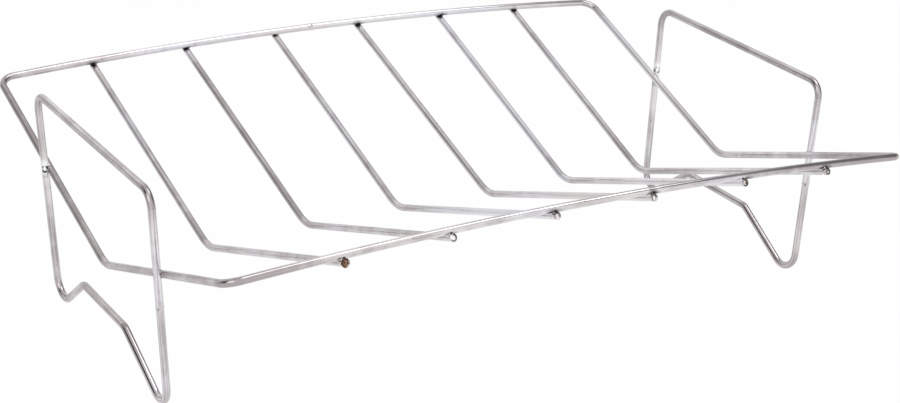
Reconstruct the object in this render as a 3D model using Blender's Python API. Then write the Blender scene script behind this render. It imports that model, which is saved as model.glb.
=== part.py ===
"""Roasting rack: a shallow V of bright plated steel wire on two end loops.

The rack is nine bent wires, resistance welded where they cross. One ring is bent flat as a
rounded rectangle and then folded across its middle into a V. Six ribs follow the same fold
underneath it. Two closed end loops stand outside the ring's side bars: each is a handle at
the top and a pair of feet at the bottom. Units are metres, +Z is up, +X runs along the fold
and -Y is the front. The origin is on the surface the rack stands on, below its centre.
"""

import math

import bmesh
import bpy
from mathutils import Matrix, Vector

MM = 0.001

# Wire
RING_WIRE_RADIUS = 2.0 * MM
LOOP_WIRE_RADIUS = 2.0 * MM
RIB_WIRE_RADIUS = 1.9 * MM
WIRE_BEVEL_RESOLUTION = 4  # twelve sides round a wire

# Ring, bent flat before it is folded
RING_HALF_LENGTH = 201.6 * MM
RING_HALF_FLAT_DEPTH = 159.2 * MM
RING_CORNER_RADIUS = 8.0 * MM
RING_WAIST = 2.2 * MM  # how far the fold draws each side bar in
RAIL_STEPS = 18

# Fold across the middle of the ring and of every rib
FOLD_ANGLE = math.radians(19.5)
FOLD_RADIUS = 20.0 * MM
FOLD_HEIGHT = 47.85 * MM
FOLD_STEPS = 8
RAIL_BOW = 7.5 * MM  # the rails and ribs stand this much higher at mid-length

# Ribs, folded one by one, spaced evenly and welded by eye
RIB_PITCH = 57.0 * MM
RIB_REAR_WANDER = (-2.5 * MM, -1.5 * MM, 0.0, -0.5 * MM, 1.0 * MM, 0.0)
RIB_FOLD_WANDER = (1.0 * MM, 2.0 * MM, 2.0 * MM, 4.5 * MM, 0.5 * MM, -2.5 * MM)
RIB_FRONT_WANDER = (-1.0 * MM, 0.0, 2.0 * MM, 3.5 * MM, 4.5 * MM, 3.0 * MM)
RIB_FOLD_SAG = (0.5 * MM, 0.0, 0.5 * MM, 2.0 * MM, 1.0 * MM, 1.4 * MM)
RIB_OVERHANG = 3.0 * MM  # past the middle of each rail, to the cut end
RIB_SET_DOWN = 0.5 * MM  # how far a weld presses a rib into its rail

# End loops, bent round pins: the place of each pin and the radius bent on it
LOOP_TOP_RADIUS = 9.0 * MM
LOOP_FOOT_RADIUS = 10.0 * MM
LOOP_BRIDGE_RADIUS = 8.0 * MM
LOOP_HEIGHT = 118.0 * MM
LOOP_TOP_REAR_Y = 68.5 * MM
LOOP_TOP_FRONT_Y = -65.5 * MM
LOOP_FOOT_REAR_Y = 60.5 * MM
LOOP_FOOT_FRONT_Y = -68.5 * MM
LOOP_BRIDGE_REAR_Y = 26.0 * MM
LOOP_BRIDGE_FRONT_Y = -25.5 * MM
LOOP_BRIDGE_HEIGHT = 23.5 * MM  # middle of the wire between the feet
LOOP_SPLAY = math.radians(3.55)  # each loop leans out, away from the ring
LOOP_SET_DOWN = 1.2 * MM
BEND_STEP = math.radians(15.0)

# Welds
SEAT_GAP = 0.3 * MM
NUGGET_RADIUS = 2.6 * MM
NUGGET_HALF_THICKNESS = 1.5 * MM
NUGGET_SEGMENTS = 12
NUGGET_RINGS = 8
BUTT_WELD_SWELL = 1.12
BUTT_WELD_HALF_WIDTH = 0.9 * MM
RING_BUTT_WELD_X = -6.0 * MM
LOOP_BUTT_WELD_HEIGHT = 56.0 * MM

# Finish
PLATE_COLOUR = (0.62, 0.60, 0.595, 1.0)
PLATE_ROUGHNESS = 0.18
SMOOTH_ANGLE = math.radians(40.0)


def clear_scene():
    for obj in list(bpy.data.objects):
        bpy.data.objects.remove(obj, do_unlink=True)


def plated_steel(name):
    material = bpy.data.materials.new(f"{name}_plate")
    material.use_nodes = True
    shader = material.node_tree.nodes["Principled BSDF"]
    shader.inputs["Base Color"].default_value = PLATE_COLOUR
    shader.inputs["Metallic"].default_value = 1.0
    shader.inputs["Roughness"].default_value = PLATE_ROUGHNESS
    return material


def steps_for(turn):
    return max(2, math.ceil(abs(turn) / BEND_STEP))


def left_of(direction):
    return Vector((-direction.y, direction.x))


def bent_round(pins):
    """A closed path of straights and arcs, taut round pins of (centre, radius).

    A radius is positive where the wire turns left round its pin, and negative where it
    turns right. Centres and the path are 2-D. Each arc comes as a list of points.
    """
    normals = []
    for (start, start_radius), (end, end_radius) in zip(pins, pins[1:] + pins[:1]):
        along = end - start
        across = (end_radius - start_radius) / along.length
        along.normalize()
        normals.append(across * along + math.sqrt(1.0 - across**2) * left_of(along))
    arcs = []
    for index, (centre, radius) in enumerate(pins):
        before, after = normals[index - 1], normals[index]
        turn = math.atan2(before.x * after.y - before.y * after.x, before.dot(after))
        count = steps_for(turn)
        arcs.append(
            [
                centre - radius * (Matrix.Rotation(turn * step / count, 2) @ before)
                for step in range(count + 1)
            ]
        )
    return arcs


def bow_at(x):
    return RAIL_BOW * (1.0 - (x / RING_HALF_LENGTH) ** 2)


def side_bar_x(flat_y):
    """How far out from the middle a side bar is: the fold draws it in."""
    to_corner = RING_HALF_FLAT_DEPTH - RING_CORNER_RADIUS
    return RING_HALF_LENGTH - RING_WAIST * (1.0 - abs(flat_y) / to_corner)


def folded(x, flat_y, drop=0.0):
    """Where a point of the flat blank lies once it is folded and bowed.

    drop moves it out, square to the V, to the side where the ribs lie.
    """
    side = math.copysign(1.0, flat_y)
    run = abs(flat_y)
    turn = min(run / FOLD_RADIUS, FOLD_ANGLE)
    straight = max(0.0, run - FOLD_RADIUS * FOLD_ANGLE)
    outward = (FOLD_RADIUS + drop) * math.sin(turn) + straight * math.cos(FOLD_ANGLE)
    up = FOLD_RADIUS - (FOLD_RADIUS + drop) * math.cos(turn) + straight * math.sin(FOLD_ANGLE)
    return Vector((x, side * outward, FOLD_HEIGHT + up + bow_at(x)))


def fold_stations():
    """Flat distances from the fold, across the arc that it is bent to."""
    half = FOLD_RADIUS * FOLD_ANGLE
    return [half * (2.0 * step / FOLD_STEPS - 1.0) for step in range(FOLD_STEPS + 1)]


def wire_object(name, points, radius, closed, swells=None):
    """A round wire along points. swells gives the radius factor at some of them."""
    curve = bpy.data.curves.new(f"{name}_path", "CURVE")
    curve.dimensions = "3D"
    curve.bevel_depth = radius
    curve.bevel_resolution = WIRE_BEVEL_RESOLUTION
    curve.use_fill_caps = not closed
    spline = curve.splines.new("POLY")
    spline.points.add(len(points) - 1)
    for index, point in enumerate(points):
        spline.points[index].co = (*point, 1.0)
        spline.points[index].radius = (swells or {}).get(index, 1.0)
    spline.use_cyclic_u = closed
    path = bpy.data.objects.new(f"{name}_path", curve)
    bpy.context.scene.collection.objects.link(path)
    mesh = bpy.data.meshes.new_from_object(
        path.evaluated_get(bpy.context.evaluated_depsgraph_get())
    )
    bpy.data.objects.remove(path, do_unlink=True)
    mesh.name = name
    shape = bmesh.new()
    shape.from_mesh(mesh)
    bmesh.ops.remove_doubles(shape, verts=shape.verts, dist=0.001 * MM)
    bmesh.ops.recalc_face_normals(shape, faces=shape.faces)
    shape.to_mesh(mesh)
    shape.free()
    mesh.shade_smooth()
    mesh.set_sharp_from_angle(angle=SMOOTH_ANGLE)
    wire = bpy.data.objects.new(name, mesh)
    bpy.context.scene.collection.objects.link(wire)
    return wire


def finish(wire):
    wire.data.materials.clear()
    wire.data.materials.append(plated_steel(wire.name))


def helper(obj):
    obj.hide_render = True
    obj.display_type = "WIRE"
    return obj


def weld_nugget(name, place, facing):
    """The metal squeezed out round a crossing, as a flat lens facing along facing."""
    mesh = bpy.data.meshes.new(name)
    shape = bmesh.new()
    bmesh.ops.create_uvsphere(
        shape, u_segments=NUGGET_SEGMENTS, v_segments=NUGGET_RINGS, radius=1.0
    )
    size = Matrix.Diagonal((NUGGET_RADIUS, NUGGET_RADIUS, NUGGET_HALF_THICKNESS, 1.0))
    turn = facing.to_track_quat("Z", "Y").to_matrix().to_4x4()
    bmesh.ops.transform(shape, matrix=turn @ size, verts=shape.verts)
    shape.to_mesh(mesh)
    shape.free()
    nugget = bpy.data.objects.new(name, mesh)
    nugget.location = place
    bpy.context.scene.collection.objects.link(nugget)
    return helper(nugget)


def weld_onto(wire, nuggets, ring_clearance):
    """Fuses the nuggets to a wire, then seats both on the ring with the welds' gap."""
    for nugget in nuggets:
        weld = wire.modifiers.new(nugget.name, "BOOLEAN")
        weld.operation = "UNION"
        weld.solver = "EXACT"
        weld.object = nugget
    seat = wire.modifiers.new("seat_on_ring", "BOOLEAN")
    seat.operation = "DIFFERENCE"
    seat.solver = "EXACT"
    seat.object = ring_clearance


def ring_path():
    """The ring's middle line and the swell at its butt weld, which is in the rear rail."""
    x = RING_HALF_LENGTH - RING_CORNER_RADIUS
    y = RING_HALF_FLAT_DEPTH - RING_CORNER_RADIUS
    corners = [Vector((-x, y)), Vector((-x, -y)), Vector((x, -y)), Vector((x, y))]
    rear_left, front_left, front_right, rear_right = bent_round(
        [(corner, RING_CORNER_RADIUS) for corner in corners]
    )
    rail = [x * (2.0 * step / RAIL_STEPS - 1.0) for step in range(1, RAIL_STEPS)]
    weld = [RING_BUTT_WELD_X + side * BUTT_WELD_HALF_WIDTH for side in (1.5, 0.5, -0.5, -1.5)]
    clear = 3.0 * BUTT_WELD_HALF_WIDTH
    rear_rail = [(place, 1.0) for place in rail if abs(place - RING_BUTT_WELD_X) > clear]
    rear_rail += list(zip(weld, (1.0, BUTT_WELD_SWELL, BUTT_WELD_SWELL, 1.0)))
    rear_rail.sort(reverse=True)
    fold = fold_stations()
    flat = [(point.x, point.y, 1.0) for point in rear_left]
    flat += [(-side_bar_x(station), -station, 1.0) for station in fold]
    flat += [(point.x, point.y, 1.0) for point in front_left]
    flat += [(place, -RING_HALF_FLAT_DEPTH, 1.0) for place in rail]
    flat += [(point.x, point.y, 1.0) for point in front_right]
    flat += [(side_bar_x(station), station, 1.0) for station in fold]
    flat += [(point.x, point.y, 1.0) for point in rear_right]
    flat += [(place, RING_HALF_FLAT_DEPTH, swell) for place, swell in rear_rail]
    points = [folded(across, along) for across, along, _ in flat]
    swells = {index: swell for index, (_, _, swell) in enumerate(flat)}
    return points, swells


def build_ring():
    points, swells = ring_path()
    ring = wire_object("frame_ring", points, RING_WIRE_RADIUS, closed=True, swells=swells)
    finish(ring)
    clearance = wire_object(
        "ring_clearance", points, RING_WIRE_RADIUS + SEAT_GAP, closed=True, swells=swells
    )
    return helper(clearance)


def build_rib(number, ring_clearance):
    """A straight rod folded to about the ring's V, and welded under both rails."""
    even = RIB_PITCH * (number - (len(RIB_REAR_WANDER) - 1) / 2.0)
    middle = even + RIB_FOLD_WANDER[number]
    rear = even + RIB_REAR_WANDER[number]
    front = even + RIB_FRONT_WANDER[number]
    drop = RING_WIRE_RADIUS + RIB_WIRE_RADIUS - RIB_SET_DOWN

    def place(flat_y, depth):
        share = abs(flat_y) / RING_HALF_FLAT_DEPTH
        end = rear if flat_y > 0.0 else front
        point = folded(middle + (end - middle) * share, flat_y, depth)
        point.z -= RIB_FOLD_SAG[number] * (1.0 - share)
        return point

    end = RING_HALF_FLAT_DEPTH + RIB_OVERHANG
    stations = [-end, *fold_stations(), end]
    name = f"rib_{number + 1}"
    rib = wire_object(
        name, [place(station, drop) for station in stations], RIB_WIRE_RADIUS, closed=False
    )
    nuggets = []
    for side, rail in ((1.0, "rear"), (-1.0, "front")):
        on_rail = place(side * RING_HALF_FLAT_DEPTH, 0.0)
        under_rail = place(side * RING_HALF_FLAT_DEPTH, drop)
        contact = on_rail.lerp(under_rail, RING_WIRE_RADIUS / drop)
        nuggets.append(weld_nugget(f"{name}_{rail}_weld", contact, on_rail - under_rail))
    weld_onto(rib, nuggets, ring_clearance)
    finish(rib)


def loop_outline():
    """The end loop's middle line as (y, z), from the butt weld in its front leg."""
    top = LOOP_HEIGHT - LOOP_WIRE_RADIUS - LOOP_TOP_RADIUS
    foot = LOOP_WIRE_RADIUS + LOOP_FOOT_RADIUS
    bridge = LOOP_BRIDGE_HEIGHT - LOOP_BRIDGE_RADIUS
    pins = [
        (Vector((LOOP_FOOT_FRONT_Y, foot)), LOOP_FOOT_RADIUS),
        (Vector((LOOP_BRIDGE_FRONT_Y, bridge)), -LOOP_BRIDGE_RADIUS),
        (Vector((LOOP_BRIDGE_REAR_Y, bridge)), -LOOP_BRIDGE_RADIUS),
        (Vector((LOOP_FOOT_REAR_Y, foot)), LOOP_FOOT_RADIUS),
        (Vector((LOOP_TOP_REAR_Y, top)), LOOP_TOP_RADIUS),
        (Vector((LOOP_TOP_FRONT_Y, top)), LOOP_TOP_RADIUS),
    ]
    arcs = bent_round(pins)
    above, below = arcs[-1][-1], arcs[0][0]
    along = (below - above).normalized()
    weld = above + along * (above.y - LOOP_BUTT_WELD_HEIGHT) / -along.y
    seam = [weld + along * side * BUTT_WELD_HALF_WIDTH for side in (-1.5, -0.5, 0.5, 1.5)]
    return seam + [point for arc in arcs for point in arc]


def flat_run(y):
    """The flat distance from the fold of a place at y, away from the fold's arc."""
    beyond = abs(y) - FOLD_RADIUS * math.sin(FOLD_ANGLE)
    return FOLD_RADIUS * FOLD_ANGLE + beyond / math.cos(FOLD_ANGLE)


def ring_side(y):
    """The middle of the right-hand side bar at y, away from the fold's arc."""
    run = math.copysign(flat_run(y), y)
    return folded(side_bar_x(run), run)


def crossings_of(outline):
    """Where the loop's two legs pass the ring's side bars, as (y, z)."""
    found = []
    for start, end in zip(outline, outline[1:] + outline[:1]):
        above, below = (point.y - ring_side(point.x).z for point in (start, end))
        if above * below < 0.0:
            found.append(start.lerp(end, above / (above - below)))
    return found


def build_end_loop(name, side, ring_clearance):
    outline = loop_outline()
    crossings = crossings_of(outline)
    weld_height = sum(crossing.y for crossing in crossings) / len(crossings)
    bar_x = sum(ring_side(crossing.x).x for crossing in crossings) / len(crossings)
    spacing = RING_WIRE_RADIUS + LOOP_WIRE_RADIUS - LOOP_SET_DOWN

    def stand(point):
        out = bar_x + spacing + (point.y - weld_height) * math.tan(LOOP_SPLAY)
        return Vector((side * out, point.x, point.y))

    swells = dict(enumerate((1.0, BUTT_WELD_SWELL, BUTT_WELD_SWELL, 1.0)))
    loop = wire_object(
        name, [stand(point) for point in outline], LOOP_WIRE_RADIUS, closed=True, swells=swells
    )
    nuggets = []
    for crossing, leg in zip(crossings, ("rear", "front")):
        on_loop = stand(crossing)
        on_ring = Vector((side * ring_side(crossing.x).x, on_loop.y, on_loop.z))
        contact = on_ring.lerp(on_loop, RING_WIRE_RADIUS / spacing)
        nuggets.append(weld_nugget(f"{name}_{leg}_weld", contact, on_ring - on_loop))
    weld_onto(loop, nuggets, ring_clearance)
    finish(loop)


def main():
    clear_scene()
    ring_clearance = build_ring()
    for number in range(len(RIB_REAR_WANDER)):
        build_rib(number, ring_clearance)
    build_end_loop("left_end_loop", -1.0, ring_clearance)
    build_end_loop("right_end_loop", 1.0, ring_clearance)


main()
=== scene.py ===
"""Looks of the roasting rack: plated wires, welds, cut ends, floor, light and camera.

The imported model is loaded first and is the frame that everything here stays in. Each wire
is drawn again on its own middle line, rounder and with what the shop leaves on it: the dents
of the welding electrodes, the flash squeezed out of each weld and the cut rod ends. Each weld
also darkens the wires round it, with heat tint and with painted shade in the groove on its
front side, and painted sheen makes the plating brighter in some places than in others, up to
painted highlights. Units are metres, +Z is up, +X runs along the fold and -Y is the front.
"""

from __future__ import annotations

import logging
import math
from collections.abc import Callable
from dataclasses import dataclass, field
from enum import Enum

import bmesh
import bpy
from mathutils import Matrix, Vector, noise

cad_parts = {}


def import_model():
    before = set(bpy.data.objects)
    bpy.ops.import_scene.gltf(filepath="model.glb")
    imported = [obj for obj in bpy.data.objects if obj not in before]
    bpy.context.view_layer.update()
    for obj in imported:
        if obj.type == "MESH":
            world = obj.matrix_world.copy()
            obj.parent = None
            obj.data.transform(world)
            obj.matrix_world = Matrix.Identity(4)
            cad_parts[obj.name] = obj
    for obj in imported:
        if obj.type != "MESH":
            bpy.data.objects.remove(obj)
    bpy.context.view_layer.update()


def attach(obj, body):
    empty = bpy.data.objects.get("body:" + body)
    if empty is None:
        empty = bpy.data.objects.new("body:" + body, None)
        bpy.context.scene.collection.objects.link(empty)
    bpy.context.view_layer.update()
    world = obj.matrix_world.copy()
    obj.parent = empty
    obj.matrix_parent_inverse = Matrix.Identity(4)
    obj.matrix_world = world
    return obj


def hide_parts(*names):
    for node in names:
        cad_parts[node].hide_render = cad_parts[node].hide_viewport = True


log = logging.getLogger("roasting_rack")

MM = 0.001

Colour = tuple[float, float, float, float]
Round = list[bmesh.types.BMVert]

WHITE: Colour = (1.0, 1.0, 1.0, 1.0)


class Side(Enum):
    """Which end of the rack an end loop stands at."""

    LEFT = -1.0
    RIGHT = 1.0


class Rail(Enum):
    """Which long bar of the ring a rib is welded to."""

    REAR = 1.0
    FRONT = -1.0


class EndState(Enum):
    """How a sheared rod end has fared under its plating."""

    BRIGHT = "bright"
    YELLOWED = "yellowed"
    STAINED = "stained"
    RUSTED = "rusted"


# Shader nodes


@dataclass(frozen=True)
class Signal:
    """A node's output that can be used in sums, which add the Math nodes they need."""

    graph: "ShaderGraph"
    socket: bpy.types.NodeSocket

    def __add__(self, other: "Signal | float") -> "Signal":
        """Returns self + other."""
        return self.graph.math("ADD", self, other)

    def __radd__(self, other: float) -> "Signal":
        """Returns other + self."""
        return self.graph.math("ADD", other, self)

    def __sub__(self, other: "Signal | float") -> "Signal":
        """Returns self - other."""
        return self.graph.math("SUBTRACT", self, other)

    def __rsub__(self, other: float) -> "Signal":
        """Returns other - self."""
        return self.graph.math("SUBTRACT", other, self)

    def __mul__(self, other: "Signal | float") -> "Signal":
        """Returns self * other."""
        return self.graph.math("MULTIPLY", self, other)

    def __rmul__(self, other: float) -> "Signal":
        """Returns other * self."""
        return self.graph.math("MULTIPLY", other, self)

    def limited(self) -> "Signal":
        """Returns self kept from 0 to 1."""
        return self.graph.math("ADD", self, 0.0, clamp=True)

    def larger(self, other: "Signal | float") -> "Signal":
        """Returns the larger of self and other."""
        return self.graph.math("MAXIMUM", self, other)

    def rising(self, low: float, high: float) -> "Signal":
        """Adds a smooth step.

        Args:
            low: where the step begins, up to which it is 0.
            high: where it ends, from which it is 1.

        Returns:
            The step.
        """
        node = self.graph.node(
            "ShaderNodeMapRange",
            {"interpolation_type": "SMOOTHSTEP"},
            {"Value": self, "From Min": low, "From Max": high},
        )
        return Signal(self.graph, node.outputs["Result"])


Value = Signal | float


class ShaderGraph:
    """The node tree of one material or of the world, built from expressions."""

    CLOUD_ROUGHNESS = 0.55  # how much the finer layers of noise count

    def __init__(self, tree: bpy.types.NodeTree) -> None:
        """Empties the tree and keeps it.

        Args:
            tree: the node tree that the nodes go into.
        """
        self.tree = tree
        self.tree.nodes.clear()

    def node(
        self,
        kind: str,
        settings: dict[str, object] | None = None,
        sockets: dict[str | int, object] | None = None,
    ) -> bpy.types.Node:
        """Adds one node of any kind.

        Args:
            kind: Blender's name of the node's type.
            settings: its properties, which are set first.
            sockets: a value or a Signal for each input, by name or by number.

        Returns:
            The new node.
        """
        node = self.tree.nodes.new(kind)
        for name, value in (settings or {}).items():
            setattr(node, name, value)
        for name, value in (sockets or {}).items():
            if isinstance(value, Signal):
                self.tree.links.new(value.socket, node.inputs[name])
            else:
                node.inputs[name].default_value = value
        return node

    def math(self, operation: str, *terms: Value, clamp: bool = False) -> Signal:
        """Adds one Math node.

        Args:
            operation: what the node does.
            terms: its inputs, numbers or Signals.
            clamp: True to keep the result from 0 to 1.

        Returns:
            The result.
        """
        node = self.node(
            "ShaderNodeMath",
            {"operation": operation, "use_clamp": clamp},
            dict(enumerate(terms)),
        )
        return Signal(self, node.outputs[0])

    def scaled(self, vector: Signal, factors: tuple[float, float, float]) -> Signal:
        """Scales a vector.

        Args:
            vector: what is scaled.
            factors: what its X, Y and Z are multiplied by.

        Returns:
            The scaled vector.
        """
        node = self.node(
            "ShaderNodeVectorMath", {"operation": "MULTIPLY"}, {0: vector, 1: factors}
        )
        return Signal(self, node.outputs["Vector"])

    def mixed(self, factor: Value, under: Signal | Colour, over: Signal | Colour) -> Signal:
        """Mixes two colours.

        Args:
            factor: how much of the upper one shows, from 0 to 1.
            under: the lower colour.
            over: the upper colour.

        Returns:
            The mixed colour.
        """
        node = self.node(
            "ShaderNodeMix",
            {"data_type": "RGBA", "clamp_factor": True},
            {"Factor": factor, 6: under, 7: over},
        )
        return Signal(self, node.outputs[2])

    def place(self) -> Signal:
        """Returns the shaded point's place on the object."""
        node = self.node("ShaderNodeTexCoord")
        return Signal(self, node.outputs["Object"])

    def attribute(self, name: str, output: str = "Fac") -> Signal:
        """Returns what the mesh holds under a name, as a number or as a vector."""
        node = self.node("ShaderNodeAttribute", {"attribute_name": name})
        return Signal(self, node.outputs[output])

    def cloud(self, place: Signal, size: float, detail: float = 2.0) -> Signal:
        """Adds soft noise.

        Args:
            place: where it is read.
            size: how large its patches are, in metres.
            detail: how many finer layers it has.

        Returns:
            The noise, from about 0.25 to 0.75.
        """
        node = self.node(
            "ShaderNodeTexNoise",
            {"noise_dimensions": "3D"},
            {
                "Vector": place,
                "Scale": 1.0 / size,
                "Detail": detail,
                "Roughness": self.CLOUD_ROUGHNESS,
            },
        )
        return Signal(self, node.outputs["Fac"])

    def parts(self, vector: Signal) -> list[Signal]:
        """Returns a vector's X, Y and Z."""
        node = self.node("ShaderNodeSeparateXYZ", sockets={0: vector})
        return [Signal(self, output) for output in node.outputs]

    def ray(self, kind: str) -> Signal:
        """Returns 1 for rays of a kind, such as "Is Glossy Ray", and 0 for others."""
        node = self.node("ShaderNodeLightPath")
        return Signal(self, node.outputs[kind])

    def background_ray(self) -> Signal:
        """Returns 1 for rays that show the background to the camera or in the metal."""
        seen = self.ray("Is Camera Ray").larger(self.ray("Is Glossy Ray"))
        return seen.larger(self.ray("Is Transmission Ray"))

    def output(self, kind: str, shader: bpy.types.NodeSocket) -> None:
        """Links a shader to the tree's output node of that kind."""
        node = self.node(kind)
        self.tree.links.new(shader, node.inputs["Surface"])


# Finishes


@dataclass(frozen=True)
class Plating:
    """Bright nickel plate on drawn steel wire, as one of the rack's wires has it."""

    name: str
    bright: Colour = (0.80, 0.785, 0.835, 1.0)
    warm: Colour = (0.76, 0.725, 0.725, 1.0)
    dull: Colour = (0.43, 0.385, 0.392, 1.0)
    # near-black of burns, pits and torn rims, which also paints the shade in the weld grooves
    burnt: Colour = (0.035, 0.027, 0.026, 1.0)
    # colour of the bare cut face, which is also the painted highlight where painted sheen is
    # strong
    sheared_and_highlight: Colour = (0.97, 0.96, 0.97, 1.0)
    yellowed: Colour = (0.94, 0.89, 0.83, 1.0)
    fleck: Colour = (0.13, 0.055, 0.045, 1.0)
    rust: Colour = (0.060, 0.024, 0.013, 1.0)
    rust_pale: Colour = (0.50, 0.26, 0.15, 1.0)
    roughness: float = 0.07
    dullness: float = 0.34
    streakiness: float = 0.30
    bump_strength: float = 0.35
    relief: float = 0.06 * MM

    def material(self) -> bpy.types.Material:
        """Builds the finish.

        Returns:
            The material, which reads the marks that WireMesh leaves on a mesh.
        """
        made = bpy.data.materials.new(self.name)
        made.use_nodes = True
        graph = ShaderGraph(made.node_tree)
        place = graph.place()
        wire = graph.attribute(WireMesh.COORDINATES, "Vector")
        # heat marks, with the painted shade in the weld grooves
        heat = graph.attribute(WireMesh.HEAT_AND_SHADE)
        bend = graph.attribute(WireMesh.BEND)
        rusting = graph.attribute(WireMesh.RUST)
        cut = graph.attribute(WireMesh.CUT)
        # painted sheen: brighter or duller plate in place of reflections
        tone = graph.attribute(WireMesh.PAINTED_SHEEN)

        def drawn_out(pace: float, size: float, detail: float) -> Signal:
            """Returns noise that is drawn out along the wire, the more the lower its pace."""
            return graph.cloud(graph.scaled(wire, (1.0, 1.0, pace)), size, detail)

        # patterns: patches on the plate, what the die left along the wire, and fine marks
        cloud = graph.cloud(place, 22 * MM).rising(0.38, 0.62)
        tint = graph.cloud(place, 75 * MM, 1.0).rising(0.40, 0.60)
        mottle = graph.cloud(place, 5.5 * MM, 3.0).rising(0.35, 0.68)
        draw_lines = drawn_out(0.025, 0.35 * MM, 2.0)
        streaks = drawn_out(0.02, 0.9 * MM, 1.0).rising(0.42, 0.62)
        die_lines = drawn_out(0.012, 0.55 * MM, 1.0).rising(0.56, 0.68)
        scuffs = drawn_out(0.22, 1.1 * MM, 3.0).rising(0.60, 0.72)
        pits = graph.cloud(wire, 0.9 * MM, 1.0).rising(0.70, 0.76)
        chatter = graph.cloud(graph.scaled(wire, (0.25, 0.25, 1.0)), 0.8 * MM, 1.0)
        grain = graph.cloud(place, 0.28 * MM, 3.0)
        specks = graph.cloud(place, 1.3 * MM)

        # how far each mark shows at the shaded point, from 0 to 1
        # heat tint, with painted shade in the weld grooves, turns the plate near-black
        charred_and_shaded = (1.55 * heat + 0.35 * mottle - 0.38).limited()
        # duller plate from random patches, die lines, scuffs and bends; painted sheen in place of
        # reflections brightens it, or dulls it below 0
        dulled = (
            self.dullness * cloud
            + 0.16 * mottle
            + self.streakiness * streaks
            + 1.4 * self.streakiness * die_lines
            + 0.20 * scuffs
            + 0.25 * bend
            - tone
        ).limited()
        on_face = cut.rising(0.0, 0.10)
        rim = cut.rising(0.45, 0.80)
        flecks = on_face * specks.rising(0.42, 0.52) * (1.7 * rusting).limited()
        eaten = (0.75 * rusting + 0.9 * specks).rising(1.02, 1.16)
        sallow = (1.6 * rusting).limited() * on_face
        # painted highlight: strong painted sheen turns the plate near-white, like the cut face
        face_and_painted_highlight = on_face.larger(tone.rising(0.6, 1.1))

        # the colour, from the clean plate up to the rust
        metal = graph.mixed(tint, self.bright, self.warm)
        metal = graph.mixed(dulled, metal, self.dull)
        metal = graph.mixed(face_and_painted_highlight, metal, self.sheared_and_highlight)
        metal = graph.mixed(sallow, metal, self.yellowed)
        metal = graph.mixed(0.85 * flecks, metal, self.fleck)
        # near-black: pits, the cut face's rim, burns and painted shade in the weld grooves
        dark = (0.55 * pits + charred_and_shaded + 0.80 * rim).limited()
        metal = graph.mixed(dark, metal, self.burnt)
        pale = specks.rising(0.40, 0.58) * (1.0 - 0.85 * rim) * on_face
        brown = graph.mixed(pale, self.rust, self.rust_pale)
        colour = graph.mixed(eaten, metal, brown)

        rough = (
            self.roughness
            + 0.05 * cloud
            + 0.05 * scuffs
            + 0.05 * bend
            + 0.35 * charred_and_shaded
            + 0.10 * cut
            + 0.50 * eaten
        ).limited()
        height = (
            0.30 * draw_lines
            + 0.25 * scuffs
            + 0.9 * bend * chatter
            + 1.6 * (cut + heat).limited() * grain
            - 1.2 * pits
            + 2.5 * eaten * grain
        )
        bump = graph.node(
            "ShaderNodeBump",
            sockets={
                "Strength": self.bump_strength,
                "Distance": self.relief,
                "Height": height,
            },
        )
        shader = graph.node(
            "ShaderNodeBsdfPrincipled",
            sockets={
                "Base Color": colour,
                "Metallic": 1.0 - 0.92 * eaten,
                "Roughness": rough,
                "Normal": Signal(graph, bump.outputs["Normal"]),
            },
        )
        graph.output("ShaderNodeOutputMaterial", shader.outputs["BSDF"])
        return made


# Wire meshes


def object_from(
    shape: bmesh.types.BMesh,
    name: str,
    finish: bpy.types.Material,
    sharp_angle: float | None = None,
) -> bpy.types.Object:
    """Turns a finished shape into an object, and frees the shape.

    Args:
        shape: the vertices and faces.
        name: the object's name, and its mesh's.
        finish: the material of every face.
        sharp_angle: how far an edge turns before it shows sharp, or None for no such edge.

    Returns:
        The object, linked to the scene and not yet riding on a body.
    """
    bmesh.ops.recalc_face_normals(shape, faces=shape.faces)
    mesh = bpy.data.meshes.new(name)
    shape.to_mesh(mesh)
    shape.free()
    mesh.shade_smooth()
    if sharp_angle is not None:
        mesh.set_sharp_from_angle(angle=sharp_angle)
    mesh.materials.append(finish)
    made = bpy.data.objects.new(name, mesh)
    bpy.context.scene.collection.objects.link(made)
    return made


@dataclass(frozen=True)
class Dent:
    """The flat that a welding electrode presses into a wire."""

    place: Vector
    outward: Vector
    radius: float = 2.1 * MM
    depth: float = 0.38 * MM

    STEEPNESS = 1.5
    RIM_HEIGHT = 0.30  # as a share of the depth
    # in radii of the dent
    RIM_PLACE = 1.05
    RIM_WIDTH = 0.22
    REACH = 1.5

    def shift(self, point: Vector) -> Vector:
        """Presses a point of the wire's surface.

        Args:
            point: the point before it is pressed.

        Returns:
            How far it moves.
        """
        span = (point - self.place).length / self.radius
        if span > self.REACH:
            return Vector((0.0, 0.0, 0.0))
        pressed = -self.depth * max(0.0, 1.0 - span * span) ** self.STEEPNESS
        from_rim = (span - self.RIM_PLACE) / self.RIM_WIDTH
        rim = self.RIM_HEIGHT * self.depth * math.exp(-(from_rim**2))
        return self.outward * (pressed + rim)


@dataclass(frozen=True)
class Spot:
    """A place round which the surface is marked, such as by a weld's heat or by rust."""

    place: Vector
    reach: float
    amount: float

    def at(self, point: Vector) -> float:
        """Returns how strong the mark is at a point."""
        return self.amount * math.exp(-(((point - self.place).length / self.reach) ** 2))


@dataclass(frozen=True)
class Halo:
    """A broken ring of heat, as the rim of a welding electrode leaves it."""

    place: Vector
    radius: float
    width: float
    amount: float

    EVEN = 0.55
    RAGGED = 1.1
    RAG_SIZE = 1.3 * MM

    def at(self, point: Vector) -> float:
        """Finds how strong the mark is.

        Args:
            point: where on the wire's surface.

        Returns:
            The mark's strength there.
        """
        away = ((point - self.place).length - self.radius) / self.width
        ragged = max(0.0, self.EVEN + self.RAGGED * noise.noise(point / self.RAG_SIZE))
        return self.amount * ragged * math.exp(-away * away)


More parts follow.
